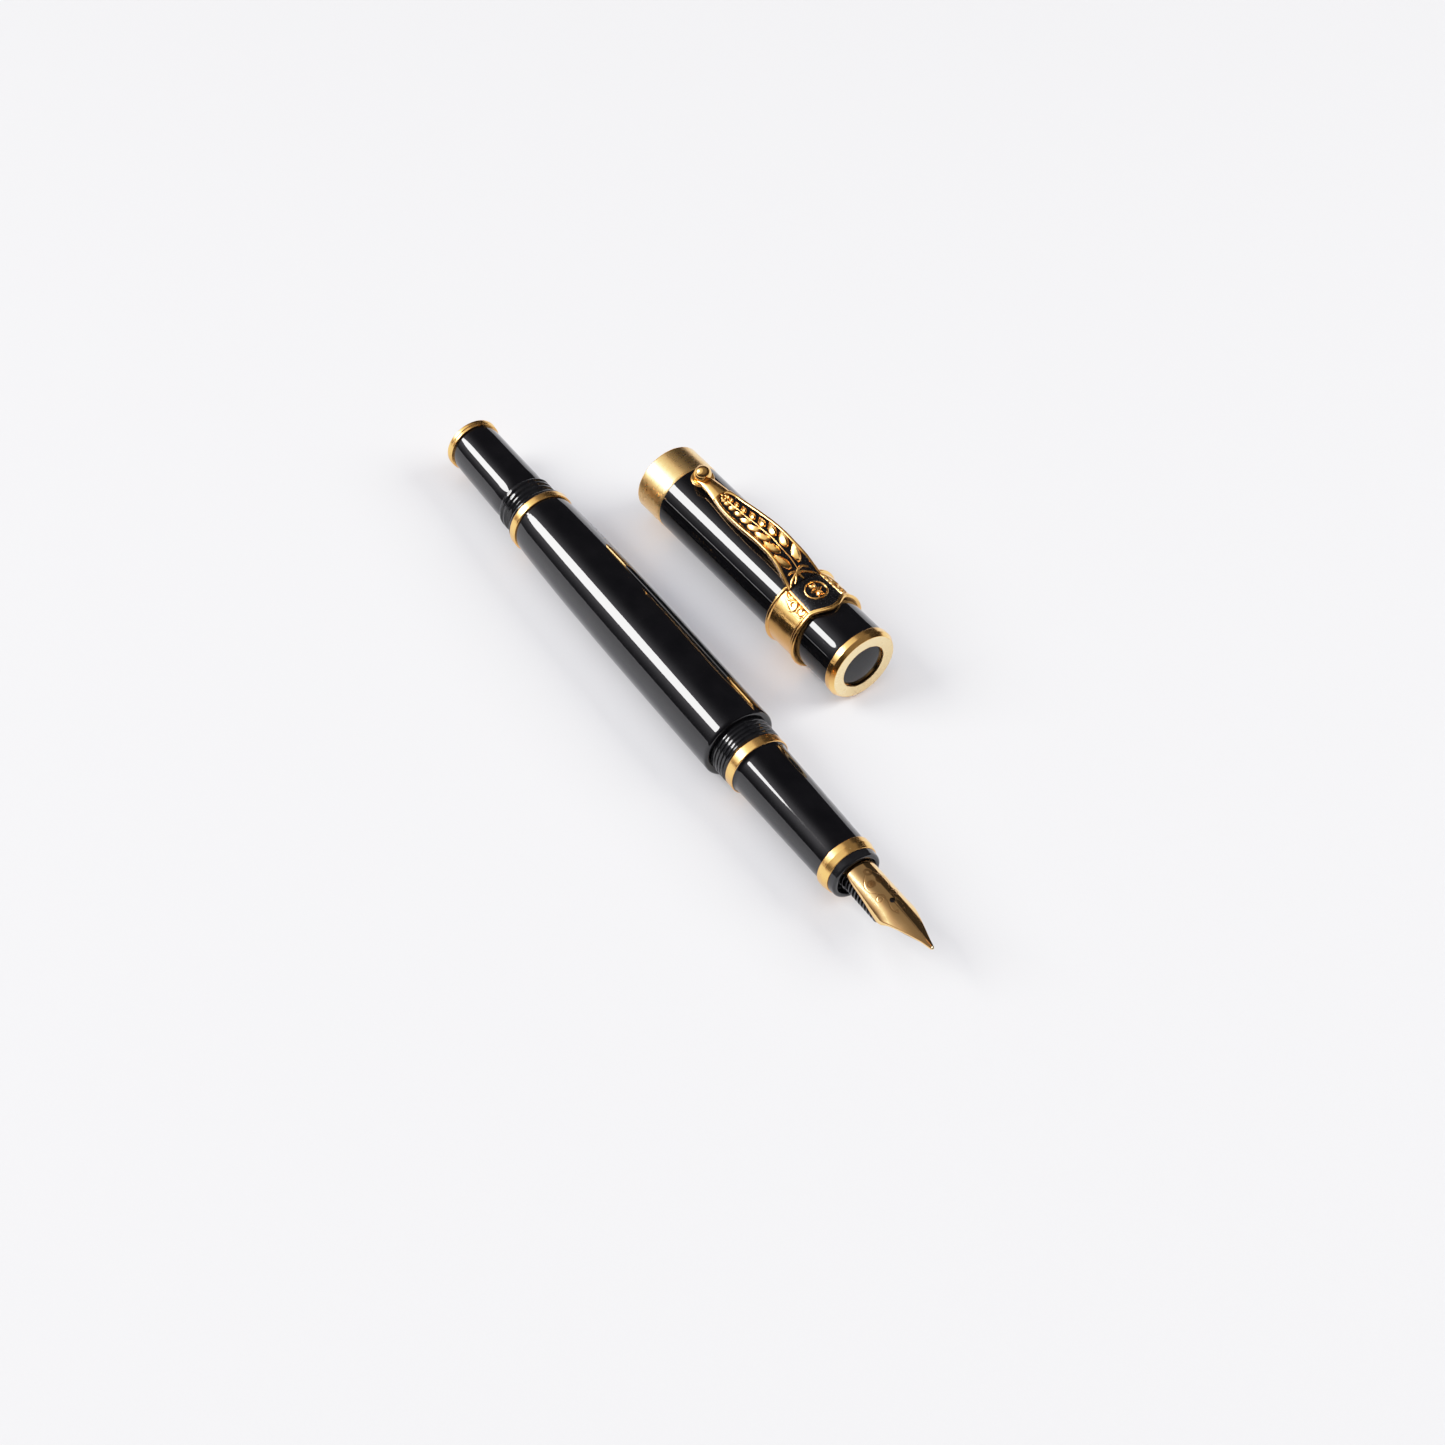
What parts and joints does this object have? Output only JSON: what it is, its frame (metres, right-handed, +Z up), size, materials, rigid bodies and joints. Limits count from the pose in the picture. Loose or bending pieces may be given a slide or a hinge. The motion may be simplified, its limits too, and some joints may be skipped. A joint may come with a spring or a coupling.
{
  "type": "fountain pen",
  "caption": "Uncapped fountain pen lying beside its cap: gloss black barrel with gold rings, curved gold nib and a relief-decorated sprung clip.",
  "frame": {"origin": "on the surface that the pen and its cap lie on, under the centre of the bounding box of both", "axes": "+X along the pen from tail to nib, +Z up, +Y from the pen towards the cap; the cap is turned 2.58 degrees from +X about +Z"},
  "size_m": [0.1364, 0.04, 0.0183],
  "materials": {
    "black_lacquer": "mirror gloss black lacquer",
    "black_resin": "moulded gloss black resin",
    "polished_gold": "polished gold plating",
    "satin_gold": "satin turned gold plating",
    "nib_gold": "gold-plated steel nib, softly polished",
    "tipping_alloy": "ground hard alloy",
    "thread_brass": "machined brass",
    "black_enamel": "black cold enamel",
    "clear_plastic": "clear moulded plastic",
    "white_plastic": "moulded natural plastic",
    "seal_rubber": "smooth seal rubber",
    "steel": "bright steel"
  },
  "bodies": {
    "barrel": {"barrel_tube": "black_lacquer", "barrel_thread_bush": "black_resin", "rear_ring": "polished_gold", "posting_thread": "black_resin", "tail_tube": "black_lacquer", "tail_end_cap": "polished_gold"},
    "section": {"section_core": "black_resin", "section_sleeve": "thread_brass", "section_ring": "polished_gold", "grip": "black_lacquer", "grip_front_ring": "polished_gold", "grip_lip": "black_resin"},
    "nib_unit": {"nib": "nib_gold", "nib_tipping": "tipping_alloy", "feed": "black_resin"},
    "converter": {"converter_tube": "clear_plastic", "converter_mouth": "black_resin", "converter_bush": "black_resin", "converter_band": "polished_gold"},
    "knob": {"converter_knob": "black_resin", "converter_spindle": "steel"},
    "piston": {"piston_rod": "white_plastic", "piston_seal": "seal_rubber"},
    "cap": {"cap_tube": "black_lacquer", "cap_lip_band": "satin_gold", "cap_liner": "black_resin", "clip_collar": "polished_gold", "collar_scrolls": "polished_gold", "shield_enamel": "black_enamel", "shield_rosette": "polished_gold", "finial_ring": "satin_gold", "finial_disc": "black_enamel", "finial_screw": "steel"},
    "clip": {"clip_frame": "polished_gold", "clip_enamel": "black_enamel", "clip_leaves": "polished_gold", "clip_ball": "polished_gold"}
  },
  "joints": [
    {"name": "section_pull", "type": "slide", "parent": "barrel", "child": "section", "axis": [1, 0, 0], "range_m": [0, 0.07]},
    {"name": "nib_pull", "type": "slide", "parent": "section", "child": "nib_unit", "axis": [1, 0, 0], "range_m": [0, 0.026]},
    {"name": "converter_pull", "type": "slide", "parent": "section", "child": "converter", "axis": [-1, 0, 0], "range_m": [0, 0.008]},
    {"name": "knob_turn", "type": "hinge", "parent": "converter", "child": "knob", "pos_m": [-0.034, -0.01328, 0.0067], "axis": [1, 0, 0], "range_deg": [0, 1800]},
    {"name": "piston_slide", "type": "slide", "parent": "converter", "child": "piston", "axis": [-1, 0, 0], "range_m": [0, 0.02]},
    {"name": "cap_lift", "type": "slide", "parent": "barrel", "child": "cap", "axis": [0, 0, 1], "range_m": [0, 0.06]},
    {"name": "clip_flex", "type": "hinge", "parent": "cap", "child": "clip", "pos_m": [-0.00207, 0.01217, 0.0149], "axis": [-0.045, 0.999, 0], "range_deg": [0, 4], "stiffness_Nm_per_rad": 0.5}
  ],
  "couplings": [
    {"joint": "knob_turn", "follows": "piston_slide", "rad_per_m": 1570.8}
  ]
}
